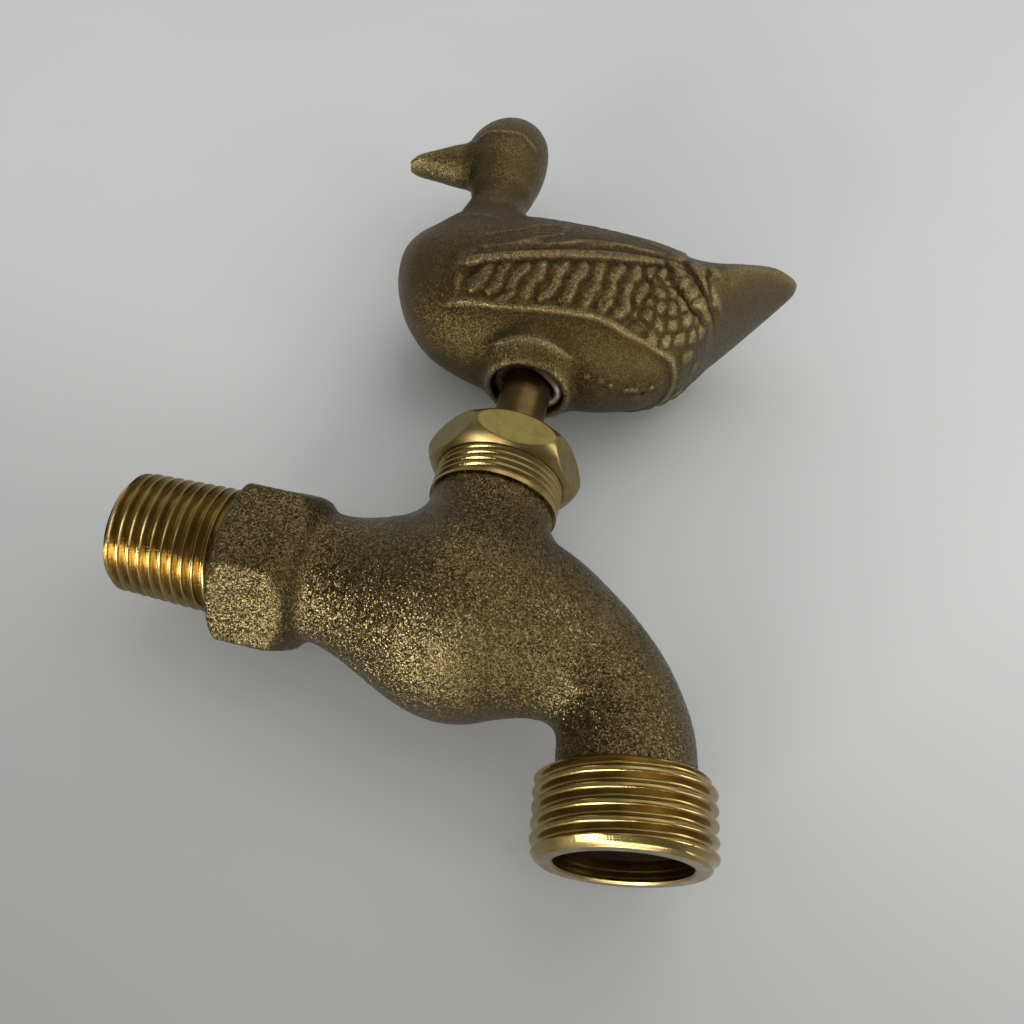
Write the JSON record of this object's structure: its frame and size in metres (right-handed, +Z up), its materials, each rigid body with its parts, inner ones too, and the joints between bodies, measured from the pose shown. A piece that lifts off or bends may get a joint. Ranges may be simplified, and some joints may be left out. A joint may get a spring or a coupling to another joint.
{
  "type": "garden tap",
  "caption": "Compression garden tap with a threaded wall inlet, a down-turned hose outlet and a duck-shaped handle that screws the valve open.",
  "frame": {"origin": "on the inlet's axis, at the front face of the hexagonal collar, where the inlet thread begins", "axes": "+X away from the wall along the inlet, +Z up along the stem, +Y to the right of someone who faces the wall"},
  "size_m": [0.1057, 0.034, 0.16],
  "materials": {
    "cast_bronze": "sand-cast, rough",
    "turned_brass": "machined",
    "stem_brass": "satin",
    "packing_rope": "graphited rope",
    "seat_rubber": "matte",
    "duck_bronze": "satin cast",
    "set_glue": "clear, glossy"
  },
  "bodies": {
    "body": {"tap_body": "cast_bronze", "cap_nut": "turned_brass", "packing_washer": "turned_brass", "packing_ring": "packing_rope", "gland_ring": "turned_brass"},
    "valve": {"jumper": "turned_brass", "seat_washer": "seat_rubber", "washer_nut": "turned_brass"},
    "handle": {"stem": "stem_brass", "duck_handle": "duck_bronze", "glue_bead": "set_glue"}
  },
  "joints": [
    {"name": "washer_lift", "type": "slide", "parent": "body", "child": "valve", "axis": [0, 0, 1], "range_m": [0, 0.0076]},
    {"name": "handle_turn", "type": "hinge", "parent": "valve", "child": "handle", "pos_m": [0.0384, 0, 0], "axis": [0, 0, 1], "range_deg": [0, 900]}
  ],
  "couplings": [
    {"joint": "washer_lift", "follows": "handle_turn", "m_per_rad": 0.00047746}
  ]
}
